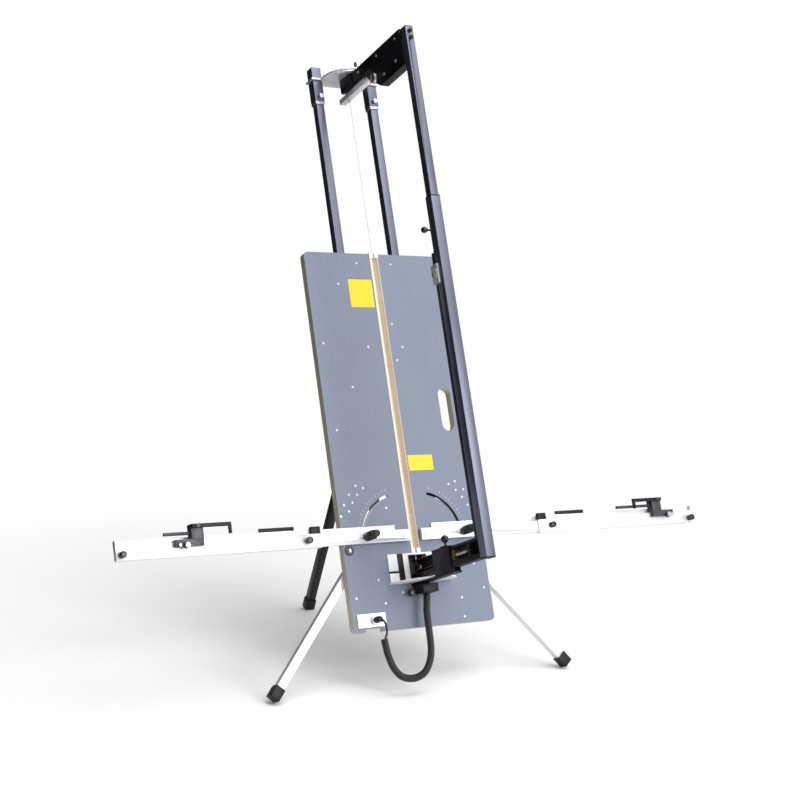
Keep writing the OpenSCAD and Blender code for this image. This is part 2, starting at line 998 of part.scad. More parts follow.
right_stop_arm();
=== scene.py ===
"""Looks for a hot-wire foam board cutter: finishes, softened edges, turned knobs, hose, spring and marks."""

import json
import math

import bmesh
import bpy
from mathutils import Matrix, Vector


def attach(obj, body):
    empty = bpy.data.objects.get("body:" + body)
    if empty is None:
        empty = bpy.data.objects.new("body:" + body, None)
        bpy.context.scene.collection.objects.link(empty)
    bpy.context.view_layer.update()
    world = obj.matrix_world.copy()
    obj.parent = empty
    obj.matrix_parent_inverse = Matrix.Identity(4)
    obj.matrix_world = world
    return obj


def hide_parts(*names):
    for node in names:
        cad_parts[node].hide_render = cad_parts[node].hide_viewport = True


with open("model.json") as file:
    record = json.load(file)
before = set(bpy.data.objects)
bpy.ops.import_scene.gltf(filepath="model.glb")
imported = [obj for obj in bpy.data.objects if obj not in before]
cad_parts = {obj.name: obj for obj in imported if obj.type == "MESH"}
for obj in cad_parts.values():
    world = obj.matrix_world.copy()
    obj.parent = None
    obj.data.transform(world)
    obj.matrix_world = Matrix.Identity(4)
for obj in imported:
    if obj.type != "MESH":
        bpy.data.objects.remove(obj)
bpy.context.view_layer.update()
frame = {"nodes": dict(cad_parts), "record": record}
NODES = frame["nodes"]
SLOT_OF = {row["node"]: row["material_slot"] for row in frame["record"]["subparts"]}
BODY_OF = {node: body for body, held in frame["record"]["behaviour"]["bodies"].items() for node in held}

# ---------------------------------------------------------------- frame of the leaning board

LEAN = math.radians(25)
BOARD_LIFT = 0.160
ORIGIN = Vector((-0.0625, -0.241203, 0))
MM = 0.001
# Board frame to room: X across, -Y out of the board's front, Z up along the board
TILT = Matrix.Rotation(-LEAN, 4, "X")
BOARD = Matrix.Translation(ORIGIN + Vector((0, 0, BOARD_LIFT))) @ TILT

# Places on the board that several pieces share, in millimetres of the board frame
SIDES = (("left", -1), ("right", 1))
ARC_PIVOT_X, ARC_PIVOT_Z, ARC_RADIUS, ARC_HALF_WIDTH = 36, 256, 124, 10.5
RAIL_START = {"left": 300, "right": 425}
STOP_AT = {"left": 682, "right": 880}
RAIL_KNOB_AT, END_KNOB_AT = 44, 576
RAIL_TILT_AT_REST = math.radians(2)
MAST_X, MAST_FRONT, MAST_BACK, MAST_TOP = 93, 24, 49, 1699.6
BOW_Y, UPPER_TUBE, LOWER_TUBE = -359, 12.4, 14.9

# ---------------------------------------------------------------- camera and light

CAMERA_AT = Vector((-2.3313, -3.77385, 1.4661))
YAW, PITCH, ROLL = math.radians(31.0), math.radians(9.106), math.radians(4.61)
FOCAL_LENGTH = 70.0


def place_camera():
    ahead = Vector((math.sin(YAW) * math.cos(PITCH), math.cos(YAW) * math.cos(PITCH), -math.sin(PITCH)))
    flat_right = Vector((math.cos(YAW), -math.sin(YAW), 0))
    flat_up = flat_right.cross(ahead)
    right = flat_right * math.cos(ROLL) + flat_up * math.sin(ROLL)
    up = flat_up * math.cos(ROLL) - flat_right * math.sin(ROLL)
    turn = Matrix((right, up, -ahead)).transposed().to_4x4()
    data = bpy.data.cameras.new("camera")
    data.lens = FOCAL_LENGTH
    data.sensor_width = 36
    data.clip_end = 60
    camera = bpy.data.objects.new("camera", data)
    bpy.context.scene.collection.objects.link(camera)
    camera.matrix_world = Matrix.Translation(CAMERA_AT) @ turn
    bpy.context.scene.camera = camera


def area_light(name, at, toward, size, watts, colour=(1, 1, 1)):
    data = bpy.data.lights.new(name, "AREA")
    data.size = size
    data.energy = watts
    data.color = colour
    lamp = bpy.data.objects.new(name, data)
    bpy.context.scene.collection.objects.link(lamp)
    lamp.location = at
    lamp.rotation_euler = (Vector(toward) - Vector(at)).to_track_quat("-Z", "Y").to_euler()


def light_room():
    """Soft room light that is dim on the left, under a white backdrop."""
    world = bpy.data.worlds.new("studio")
    bpy.context.scene.world = world
    world.use_nodes = True
    nodes, links = world.node_tree.nodes, world.node_tree.links
    nodes.clear()
    out = nodes.new("ShaderNodeOutputWorld")
    where = nodes.new("ShaderNodeTexCoord")
    side = nodes.new("ShaderNodeVectorMath")
    side.operation = "DOT_PRODUCT"
    side.inputs[1].default_value = Vector((0.78, -0.52, 0.35)).normalized()
    ramp = nodes.new("ShaderNodeMapRange")
    ramp.inputs["From Min"].default_value = -0.6
    ramp.inputs["From Max"].default_value = 0.65
    ramp.inputs["To Min"].default_value = 0.0
    ramp.inputs["To Max"].default_value = 1.0
    soft = nodes.new("ShaderNodeBackground")
    soft.inputs["Color"].default_value = (1, 1, 1, 1)
    white = nodes.new("ShaderNodeBackground")
    white.inputs["Strength"].default_value = 1.0
    white.inputs["Color"].default_value = (1, 1, 1, 1)
    path = nodes.new("ShaderNodeLightPath")
    mix = nodes.new("ShaderNodeMixShader")
    links.new(where.outputs["Generated"], side.inputs[0])
    links.new(side.outputs["Value"], ramp.inputs["Value"])
    links.new(ramp.outputs["Result"], soft.inputs["Strength"])
    links.new(path.outputs["Is Camera Ray"], mix.inputs["Fac"])
    links.new(soft.outputs[0], mix.inputs[1])
    links.new(white.outputs[0], mix.inputs[2])
    links.new(mix.outputs[0], out.inputs["Surface"])
    area_light("front_softbox", (1.2, -4.2, 2.6), (0, 0, 0.8), 2.4, 105)
    area_light("top_softbox", (0.4, -0.6, 4.2), (0, 0, 0), 3.0, 80)


# ---------------------------------------------------------------- finishes


class Finish:
    """A material under construction, with short ways to add its nodes."""

    def __init__(self, name):
        self.material = bpy.data.materials.new(name)
        self.material.use_nodes = True
        self.tree = self.material.node_tree
        self.shader = self.tree.nodes["Principled BSDF"]

    def add(self, kind, **values):
        node = self.tree.nodes.new(kind)
        for key, value in values.items():
            setattr(node, key, value)
        return node

    def link(self, a, b):
        self.tree.links.new(a, b)

    def board_place(self, stretch=(1, 1, 1)):
        """Coordinates along the leaning board, in metres."""
        where = self.add("ShaderNodeTexCoord")
        turn = self.add("ShaderNodeMapping", vector_type="POINT")
        turn.inputs["Rotation"].default_value = (LEAN, 0, 0)
        start = Matrix.Rotation(LEAN, 4, "X") @ (ORIGIN + Vector((0, 0, BOARD_LIFT)))
        turn.inputs["Location"].default_value = -start
        self.link(where.outputs["Object"], turn.inputs["Vector"])
        if stretch == (1, 1, 1):
            return turn.outputs[0]
        scale = self.add("ShaderNodeMapping", vector_type="POINT")
        scale.inputs["Scale"].default_value = stretch
        self.link(turn.outputs[0], scale.inputs["Vector"])
        return scale.outputs[0]

    def noise(self, place, scale, detail=4, rough=0.55):
        node = self.add("ShaderNodeTexNoise")
        node.inputs["Scale"].default_value = scale
        node.inputs["Detail"].default_value = detail
        node.inputs["Roughness"].default_value = rough
        self.link(place, node.inputs["Vector"])
        return node.outputs["Fac"]

    def number(self, value, low, high, start=0.3, end=0.7):
        node = self.add("ShaderNodeMapRange")
        for key, amount in (("From Min", start), ("From Max", end), ("To Min", low), ("To Max", high)):
            node.inputs[key].default_value = amount
        self.link(value, node.inputs["Value"])
        return node.outputs["Result"]

    def maths(self, what, a, b=None):
        node = self.add("ShaderNodeMath", operation=what)
        for slot, value in zip(node.inputs, (a, b)):
            if isinstance(value, (int, float)):
                slot.default_value = value
            elif value is not None:
                self.link(value, slot)
        return node.outputs[0]

    def blend(self, amount, a, b):
        """Colour a where amount is 0 and b where it is 1."""
        node = self.add("ShaderNodeMix", data_type="RGBA")
        self.link(amount, node.inputs["Factor"])
        for slot, value in ((node.inputs["A"], a), (node.inputs["B"], b)):
            for socket in (s for s in node.inputs if s.name == slot.name and s.type == "RGBA"):
                if isinstance(value, tuple):
                    socket.default_value = (*value, 1)
                else:
                    self.link(value, socket)
        return node.outputs["Result"] if node.outputs["Result"].type == "RGBA" else node.outputs[2]

    def bump(self, height, depth, strength=0.5):
        node = self.add("ShaderNodeBump")
        node.inputs["Strength"].default_value = strength
        node.inputs["Distance"].default_value = depth
        self.link(height, node.inputs["Height"])
        self.link(node.outputs[0], self.shader.inputs["Normal"])

    def colour(self, value):
        self.link(value, self.shader.inputs["Base Color"])

    def rough(self, value):
        self.link(value, self.shader.inputs["Roughness"])


def shade(colour, factor):
    return tuple(min(1.0, c * factor) for c in colour)


def coated(name, colour, rough, grain=900, metal=0.0, spread=0.12, depth=0.0002, coat=0.0, shine=0.5):
    """Paint or moulded plastic: fine texture, patchy gloss and faint dust."""
    f = Finish(name)
    f.shader.inputs["Metallic"].default_value = metal
    f.shader.inputs["Coat Weight"].default_value = coat
    f.shader.inputs["Specular IOR Level"].default_value = shine
    f.shader.inputs["Coat Roughness"].default_value = 0.12
    place = f.board_place()
    patches = f.noise(place, 9, 5)
    fine = f.noise(place, grain, 3)
    f.colour(f.blend(f.number(patches, 0, 1), shade(colour, 1 - spread), shade(colour, 1 + spread)))
    f.rough(f.number(patches, rough - 0.06, rough + 0.08))
    f.bump(fine, depth, 0.35)
    return f.material


def bare_metal(name, colour, rough, streak=(1, 1, 1), metal=0.9, spread=0.05):
    """Bare metal with drawing streaks, stretched along the way it was drawn."""
    f = Finish(name)
    f.shader.inputs["Metallic"].default_value = metal
    place = f.board_place(streak)
    lines = f.noise(place, 260, 4, 0.7)
    cloud = f.noise(f.board_place(), 6, 4)
    f.colour(f.blend(f.number(cloud, 0, 1), shade(colour, 1 - spread), colour))
    f.rough(f.number(lines, rough - 0.07, rough + 0.1))
    f.bump(lines, 0.00008, 0.3)
    return f.material


PLY_LAYER = 0.0027
FILM_BLUE = (0.168, 0.192, 0.262)


def plywood():
    """Film-coated face over edges that show the layers."""
    f = Finish("plywood_film")
    place = f.board_place()
    parts = f.add("ShaderNodeSeparateXYZ")
    f.link(place, parts.inputs[0])
    geometry = f.add("ShaderNodeNewGeometry")
    facing = f.add("ShaderNodeVectorMath", operation="DOT_PRODUCT")
    facing.inputs[1].default_value = (0, math.cos(LEAN), -math.sin(LEAN))
    # the face normal has to be read in the piece's own space, so that it turns with it
    to_object = f.add("ShaderNodeVectorTransform", vector_type="NORMAL",
                      convert_from="WORLD", convert_to="OBJECT")
    f.link(geometry.outputs["True Normal"], to_object.inputs[0])
    f.link(to_object.outputs[0], facing.inputs[0])
    is_face = f.maths("GREATER_THAN", f.maths("ABSOLUTE", facing.outputs["Value"]), 0.8)
    grain = f.noise(f.board_place((26, 1, 1.4)), 7, 6, 0.65)
    cloud = f.noise(place, 5, 5)
    speck = f.noise(place, 520, 2)
    film = f.blend(f.number(grain, 0, 1, 0.35, 0.68), shade(FILM_BLUE, 0.93), shade(FILM_BLUE, 1.06))
    film = f.blend(f.number(cloud, 0, 0.35), film, shade(FILM_BLUE, 1.25))
    film = f.blend(f.number(speck, 0, 0.22, 0.62, 0.75), film, (0.5, 0.52, 0.6))
    layer = f.maths("FRACT", f.maths("DIVIDE", parts.outputs["Y"], PLY_LAYER * 2))
    dark_layer = f.maths("GREATER_THAN", layer, 0.5)
    fibre = f.noise(f.board_place((1, 30, 1)), 60, 4)
    edge = f.blend(dark_layer, (0.62, 0.55, 0.44), (0.38, 0.32, 0.25))
    edge = f.blend(f.number(fibre, 0, 0.4), edge, (0.72, 0.66, 0.54))
    # inside the arc slots the walls are painted light on the left and painted shade, black, on the right
    across = f.maths("SUBTRACT", f.maths("ABSOLUTE", parts.outputs["X"]), ARC_PIVOT_X * MM)
    along = f.maths("SUBTRACT", parts.outputs["Z"], ARC_PIVOT_Z * MM)
    square_sum = f.maths("ADD", f.maths("MULTIPLY", across, across), f.maths("MULTIPLY", along, along))
    reach = f.maths("SQRT", square_sum)
    off_slot = f.maths("ABSOLUTE", f.maths("SUBTRACT", reach, ARC_RADIUS * MM))
    in_slot = f.maths("LESS_THAN", off_slot, ARC_HALF_WIDTH * MM)
    shaded_right_half = f.maths("GREATER_THAN", parts.outputs["X"], 0.0)
    # light grey is painted light on the left slot walls, black is painted shade on the right ones
    painted_slot_light_shade = f.blend(shaded_right_half, (0.82, 0.83, 0.86), (0.008, 0.008, 0.01))
    edge = f.blend(in_slot, edge, painted_slot_light_shade)
    f.colour(f.blend(is_face, edge, film))
    f.rough(f.number(grain, 0.38, 0.52))
    f.bump(grain, 0.00025, 0.3)
    return f.material


def batten_wood():
    """Pale softwood with painted shade darkening its right half, with lengthwise grain and knots."""
    f = Finish("batten_wood")
    place = f.board_place()
    parts = f.add("ShaderNodeSeparateXYZ")
    f.link(place, parts.inputs[0])
    shaded_right_half = f.maths("GREATER_THAN", parts.outputs["X"], 0.0)
    wobble = f.noise(f.board_place((1, 1, 0.25)), 14, 3)
    rings = f.add("ShaderNodeTexWave", wave_type="BANDS", bands_direction="X")
    rings.inputs["Scale"].default_value = 55
    rings.inputs["Distortion"].default_value = 7
    rings.inputs["Detail"].default_value = 3
    f.link(f.board_place((1, 1, 0.06)), rings.inputs["Vector"])
    streak = f.noise(f.board_place((60, 60, 2.2)), 6, 5, 0.7)
    knots = f.add("ShaderNodeTexVoronoi")
    knots.inputs["Scale"].default_value = 5.2
    f.link(f.board_place((1.6, 1, 0.8)), knots.inputs["Vector"])
    # the left half gets a painted-light tone and the right half a painted-shade tone of the same wood, as on
    # the two walls of the groove
    lit_wood_tone = f.blend(rings.outputs["Fac"], (0.86, 0.79, 0.65), (0.80, 0.69, 0.50))
    shaded_wood_tone = f.blend(rings.outputs["Fac"], (0.58, 0.47, 0.34), (0.44, 0.33, 0.22))
    wood = f.blend(shaded_right_half, lit_wood_tone, shaded_wood_tone)
    wood = f.blend(f.number(streak, 0, 0.35, 0.4, 0.75), wood, (0.42, 0.26, 0.13))
    wood = f.blend(f.number(knots.outputs["Distance"], 0.85, 0, 0.03, 0.09), wood, (0.17, 0.09, 0.05))
    f.colour(f.blend(f.number(wobble, 0, 0.2), wood, (0.9, 0.84, 0.7)))
    f.rough(f.number(streak, 0.6, 0.78))
    f.bump(streak, 0.0003, 0.4)
    return f.material


def printed_label():
    """Blank yellow film with light scuffs."""
    f = Finish("label_film")
    place = f.board_place()
    scuff = f.noise(f.board_place((3, 1, 1)), 70, 5, 0.7)
    cloud = f.noise(place, 22, 3)
    base = f.blend(f.number(cloud, 0, 1), (0.71, 0.57, 0.003), (0.77, 0.63, 0.006))
    f.colour(f.blend(f.number(scuff, 0, 0.3, 0.62, 0.8), base, (0.95, 0.9, 0.55)))
    f.rough(f.number(scuff, 0.28, 0.45))
    return f.material


def hose_rubber():
    f = Finish("hose_plastic")
    place = f.board_place()
    dust = f.noise(place, 140, 4)
    f.colour(f.blend(f.number(dust, 0, 1, 0.45, 0.8), (0.007, 0.007, 0.008), (0.025, 0.025, 0.027)))
    f.rough(f.number(dust, 0.32, 0.5))
    return f.material


TUBE_GREY = (0.135, 0.142, 0.185)
FINISHES = {
    "plywood": plywood(),
    "batten_wood": batten_wood(),
    "white_metal": coated("white_coat", (0.80, 0.81, 0.82), 0.42, spread=0.03),
    "silver": bare_metal("satin_aluminium", (0.80, 0.81, 0.84), 0.38, (18, 18, 1), metal=0.6),
    "bright_rail": bare_metal("bright_aluminium", (0.86, 0.86, 0.88), 0.40, (0.6, 20, 20), metal=0.45),
    "steel": bare_metal("bright_steel", (0.72, 0.73, 0.75), 0.26),
    "dull_zinc": bare_metal("dull_zinc", (0.50, 0.52, 0.58), 0.42),
    "label_yellow": printed_label(),
    "black_tube": coated("black_coat", (0.008, 0.0085, 0.011), 0.40, spread=0.25, shine=0.3),
    "navy_tube": coated("anodised_tube", TUBE_GREY, 0.38, metal=0.75, spread=0.06, depth=0.0001),
    "black_plastic": coated("black_moulding", (0.006, 0.006, 0.0075), 0.45, 700, spread=0.3, shine=0.3),
    "knob_plastic": coated("gloss_black_moulding", (0.007, 0.008, 0.012), 0.22, 500, spread=0.3, coat=0.3,
                           shine=0.4),
    "grey_block": coated("grey_block_coat", (0.055, 0.058, 0.068), 0.36, spread=0.2, metal=0.3),
    "brass": bare_metal("turned_brass", (0.78, 0.58, 0.27), 0.27, (1, 20, 1)),
    "rocker_white": coated("white_moulding", (0.86, 0.86, 0.84), 0.3, spread=0.02),
    "hose_black": hose_rubber(),
}


def dress(piece, slot_name):
    """Gives a piece one finish and names the record slot it belongs to."""
    piece.data.materials.clear()
    piece.data.materials.append(FINISHES[slot_name])
    return piece


# ---------------------------------------------------------------- making pieces


def link_piece(name, mesh, slot_name, body, replaced=()):
    piece = bpy.data.objects.new(name, mesh)
    bpy.context.scene.collection.objects.link(piece)
    dress(piece, slot_name)
    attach(piece, body)
    if replaced:
        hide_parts(*replaced)
    return piece


def smooth(mesh, sharp=38):
    for face in mesh.polygons:
        face.use_smooth = True
    mesh.set_sharp_from_angle(angle=math.radians(sharp))


def mesh_from(bm, name, sharp=38):
    bmesh.ops.remove_doubles(bm, verts=bm.verts, dist=1e-6)
    bmesh.ops.recalc_face_normals(bm, faces=bm.faces)
    mesh = bpy.data.meshes.new(name)
    bm.to_mesh(mesh)
    bm.free()
    smooth(mesh, sharp)
    return mesh


SHARP_CORNER = math.radians(50)


def soften(node, width):
    """Copy of a CAD piece whose long sharp corners are rounded."""
    bm = bmesh.new()
    bm.from_mesh(NODES[node].data)
    bmesh.ops.remove_doubles(bm, verts=bm.verts, dist=2e-6)
    bmesh.ops.dissolve_limit(bm, angle_limit=math.radians(1), verts=bm.verts, edges=bm.edges)
    corners = [
        e for e in bm.edges
        if e.is_manifold and e.calc_face_angle(0) > SHARP_CORNER and e.calc_length() > 3 * width
    ]
    bmesh.ops.bevel(
        bm, geom=corners, offset=width, offset_type="OFFSET", segments=2, profile=0.5,
        affect="EDGES", clamp_overlap=True, material=-1,
    )
    mesh = bpy.data.meshes.new(node + "_softened")
    bm.to_mesh(mesh)
    bm.free()
    smooth(mesh)
    return link_piece(node + "_softened", mesh, SLOT_OF[node], BODY_OF[node], (node,))


def axis_matrix(at, direction):
    """Places a lathe piece: its foot at a board-frame point, its axis along a board-frame direction."""
    turn = Vector(direction).to_track_quat("Z", "Y").to_matrix().to_4x4()
    return BOARD @ Matrix.Translation(Vector(at) * MM) @ turn


def lathe(bm, profile, place, steps=40):
    """Turns (radius, height) pairs in millimetres about the axis of place."""
    verts = [bm.verts.new((max(r, 0.0) * MM, 0, h * MM)) for r, h in profile]
    edges = [bm.edges.new(pair) for pair in zip(verts, verts[1:])]
    turned = bmesh.ops.spin(
        bm, geom=verts + edges, axis=(0, 0, 1), cent=(0, 0, 0), angle=2 * math.pi, steps=steps, use_merge=True,
    )
    found = set(verts) | {g for g in turned["geom_last"] if isinstance(g, bmesh.types.BMVert)}
    todo = list(found)
    while todo:
        for edge in todo.pop().link_edges:
            for v in edge.verts:
                if v not in found:
                    found.add(v)
                    todo.append(v)
    bmesh.ops.transform(bm, matrix=place, verts=list(found))
    return found


def turned(name, profile, at, direction, slot_name, body, replaced=(), steps=40):
    bm = bmesh.new()
    lathe(bm, profile, axis_matrix(at, direction), steps)
    return link_piece(name, mesh_from(bm, name), slot_name, body, replaced)


def ball_profile(radius, centre, steps=14, start=-0.42):
    return [
        (radius * math.cos(a), centre + radius * math.sin(a))
        for a in (math.pi * (start + (0.5 - start) * i / steps) for i in range(steps + 1))
    ]


def block(bm, low, high, bevel=0.4, place=BOARD):
    """Box between two board-frame corners, in millimetres, with rounded edges."""
    size = [abs(b - a) * MM for a, b in zip(low, high)]
    middle = Vector([(a + b) / 2 * MM for a, b in zip(low, high)])
    made = bmesh.ops.create_cube(bm, size=1.0, matrix=Matrix.Diagonal((*size, 1)))
    edges = {e for v in made["verts"] for e in v.link_edges}
    cut = bmesh.ops.bevel(
        bm, geom=list(edges), offset=bevel * MM, segments=2, profile=0.5, affect="EDGES", clamp_overlap=True,
        material=-1,
    )
    verts = {v for f in cut["faces"] for v in f.verts} | {v for v in made["verts"] if v.is_valid}
    for v in list(verts):
        verts.update(w for e in v.link_edges for w in e.verts)
    bmesh.ops.transform(bm, matrix=place @ Matrix.Translation(middle), verts=list(verts))


def hex_bolt(bm, at, direction, across, height, washer=None):
    """Hex head with a chamfered top, on a washer if one is given."""
    place = axis_matrix(at, direction)
    low = 0.0
    if washer:
        lathe(bm, [(0, 0), (washer, 0), (washer, 0.9), (washer - 0.5, 1.2), (0, 1.2)], place, 32)
        low = 1.2
    made = bmesh.ops.create_circle(bm, cap_ends=True, segments=6, radius=across * MM / math.sqrt(3))
    face = made["verts"][0].link_faces[0]
    grown = bmesh.ops.extrude_face_region(bm, geom=[face])
    top = [g for g in grown["geom"] if isinstance(g, bmesh.types.BMVert)]
    bmesh.ops.translate(bm, verts=top, vec=(0, 0, height * MM))
    top_face = next(g for g in grown["geom"] if isinstance(g, bmesh.types.BMFace))
    inner = bmesh.ops.inset_individual(bm, faces=[top_face], thickness=0.6 * MM, depth=0.35 * MM)
    verts = set(made["verts"]) | set(top) | {v for f in inner["faces"] for v in f.verts} | set(top_face.verts)
    bmesh.ops.transform(bm, matrix=place @ Matrix.Translation((0, 0, low * MM)), verts=list(verts))


def spline_points(points, per_span):
    """Smooth route through board-frame points, as room points."""
    out = []
    last = len(points) - 1
    for i in range(last):
        a, b, c, d = (Vector(points[min(max(k, 0), last)]) for k in (i - 1, i, i + 1, i + 2))
        for k in range(per_span):
            t = k / per_span
            out.append(0.5 * (2 * b + t * (c - a) + t * t * (2 * a - 5 * b + 4 * c - d)
                              + t ** 3 * (3 * b - a - 3 * c + d)))
    out.append(Vector(points[-1]))
    return [BOARD @ (p * MM) for p in out]


def route_length(route):
    return sum((b - a).length for a, b in zip(route, route[1:]))


def even_route(route, count):
    """The same route with evenly spaced points."""
    total, marks, out, run = route_length(route), [], [route[0].copy()], 0.0
    step, need = total / (count - 1), total / (count - 1)
    for a, b in zip(route, route[1:]):
        span = (b - a).length
        while run + span >= need - 1e-9 and len(out) < count:
            out.append(a.lerp(b, (need - run) / span))
            need += step
        run += span
    while len(out) < count:
        out.append(route[-1].copy())
    return out


# ---------------------------------------------------------------- hose, cable and plug

HOSE_POINTS = [
    (-8, -38, 87.6), (-8.2, -38, 82), (-12, -39, 62), (-16.2, -39, 39), (-18, -40, 0), (-18.7, -40, -46),
    (-21.4, -38, -77), (-30, -36, -103), (-46.5, -33, -126), (-69.6, -31, -137), (-93.3, -29, -138),
    (-118, -28, -130), (-135, -26, -110), (-145, -25, -86), (-151, -24, -57), (-154.4, -24, -24),
]
CABLE_POINTS = [
    (-150.5, -24, -30), (-149.2, -24, -21), (-144.5, -24.8, -12), (-143, -26.2, 0), (-145, -27.6, 14),
    (-148.4, -28, 24.1), (-151.6, -28, 25.7),
]
HOSE_RIB, HOSE_GROOVE, HOSE_BORE = 10.4, 8.9, 8.0
HOSE_BORE_DEPTH = 0.02
RIB_PITCH = 0.0048
RIB_STATIONS = 4


def ring_edges(verts):
    """The edges that run round one ring of vertices."""
    touching = {e for v in verts for e in v.link_edges}
    return [e for e in touching if all(v in verts for v in e.verts)]


def ribbed_hose():
    """Corrugated tube swept along its route, open at the cut end."""
    route = spline_points(HOSE_POINTS, 10)
    length = route_length(route)
    ribs = round(length / RIB_PITCH)
    stations = even_route(route, ribs * RIB_STATIONS + 1)
    bm = bmesh.new()
    across = (BOARD.to_3x3() @ Vector((0, 1, 0))).normalized()
    radii = (HOSE_GROOVE, HOSE_RIB, HOSE_RIB, HOSE_GROOVE)
    rings = []
    for i, point in enumerate(stations):
        ahead = stations[min(i + 1, len(stations) - 1)] - stations[max(i - 1, 0)]
        side = ahead.cross(across).normalized()
        up = ahead.cross(side).normalized()
        radius = radii[i % RIB_STATIONS] * MM
        turn = Matrix((side, up, ahead.normalized())).transposed().to_4x4()
        place = Matrix.Translation(point) @ turn @ Matrix.Diagonal((radius, radius, 1, 1))
        made = bmesh.ops.create_circle(bm, segments=20, radius=1.0, matrix=place)
        rings.append(made["verts"])
    # a thin wall folds back into the bore at the open end
    inner = place @ Matrix.Diagonal((HOSE_BORE / HOSE_GROOVE, HOSE_BORE / HOSE_GROOVE, 1, 1))
    for depth in (0.0, HOSE_BORE_DEPTH):
        made = bmesh.ops.create_circle(
            bm, segments=20, radius=1.0, matrix=inner @ Matrix.Translation((0, 0, -depth)))
        rings.append(made["verts"])
    for a, b in zip(rings, rings[1:]):
        bmesh.ops.bridge_loops(bm, edges=ring_edges(a) + ring_edges(b))
    for vs in (rings[0], rings[-1]):
        bmesh.ops.contextual_create(bm, geom=list(vs))
    hose = link_piece("hose_ribbed", mesh_from(bm, "hose_ribbed", 60), "hose_black", "stand", ("hose",))


def lead_and_plug():
    route = spline_points(CABLE_POINTS, 6)
    curve = bpy.data.curves.new("cable_lead", "CURVE")
    curve.dimensions = "3D"
    curve.bevel_depth = 3 * MM
    curve.bevel_resolution = 4
    curve.use_fill_caps = True
    line = curve.splines.new("POLY")
    line.points.add(len(route) - 1)
    for point, at in zip(line.points, route):
        point.co = (*at, 1)
    lead = bpy.data.objects.new("cable_lead", curve)
    bpy.context.scene.collection.objects.link(lead)
    dress(lead, "hose_black")
    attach(lead, "stand")
    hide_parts("cable")
    bm = bmesh.new()
    body = [(0, 0), (7.2, 0), (8.5, 1.4), (8.5, 9), (7.9, 9.6), (7.9, 11), (8.5, 11.6), (8.5, 25), (7.4, 29),
            (3.4, 30.4), (0, 30.6)]
    lathe(bm, body, axis_matrix((-163, -5.3, 31), (0, -1, 0)))
    relief = [(0, 5), (4.9, 5), (4.9, 9.4), (4.0, 9.8), (4.0, 10.6), (4.6, 11), (4.6, 12), (3.4, 12.5),
              (0, 12.5)]
    lathe(bm, relief, axis_matrix((-163, -28, 31), (0.906, 0, -0.423)))
    plug = link_piece("plug_turned", mesh_from(bm, "plug_turned"), "black_plastic", "stand", ("plug",))


# ---------------------------------------------------------------- knobs and small turned pieces


def rounded_knob(radius, height, rim=1.4):
    """Profile of a plain knob whose outer rim is rounded."""
    side = [(0, 0), (radius - 0.8, 0), (radius, 0.8), (radius, height - rim)]
    edge = [(radius - rim * 0.3, height - rim * 0.3), (radius - rim, height)]
    dished_top = [(radius * 0.45, height), (radius * 0.4, height - 0.6), (0, height - 0.6)]
    return side + edge + dished_top


def fluted_knob(name, at, radius, height, lobes, body, node):
    """Grip knob with rounded lobes, a collar and a sunk cap."""
    bm = bmesh.new()
    place = axis_matrix(at, (0, -1, 0))
    steps = lobes * 6
    made = bmesh.ops.create_circle(bm, cap_ends=True, segments=steps, radius=radius * MM)
    for i, v in enumerate(made["verts"]):
        dip = 0.5 - 0.5 * math.cos(2 * math.pi * i * lobes / steps)
        v.co *= 1 - 0.13 * (1 - dip) ** 2
    face = made["verts"][0].link_faces[0]
    verts = set(made["verts"])
    steps_up = ((0.0, height * 0.70), (1.4, 1.6), (1.4, 1.0), (0.0, height * 0.23), (1.5, 1.2), (0.5, -0.8))
    for inset, rise in steps_up:
        if inset:
            grown = bmesh.ops.inset_individual(bm, faces=[face], thickness=inset * MM, depth=0)
            verts.update(face.verts)
            bmesh.ops.translate(bm, verts=face.verts, vec=(0, 0, rise * MM))
        else:
            grown = bmesh.ops.extrude_face_region(bm, geom=[face])
            if face.is_valid:
                bmesh.ops.delete(bm, geom=[face], context="FACES_ONLY")
            face = next(g for g in grown["geom"] if isinstance(g, bmesh.types.BMFace))
            bmesh.ops.translate(bm, verts=face.verts, vec=(0, 0, rise * MM))
            verts.update(face.verts)
    bottom = [e for e in bm.edges if e.is_boundary]
    if bottom:
        bmesh.ops.contextual_create(bm, geom=bottom)
    bmesh.ops.transform(bm, matrix=place, verts=bm.verts)
    return link_piece(name, mesh_from(bm, name, 50), "knob_plastic", body, (node,))


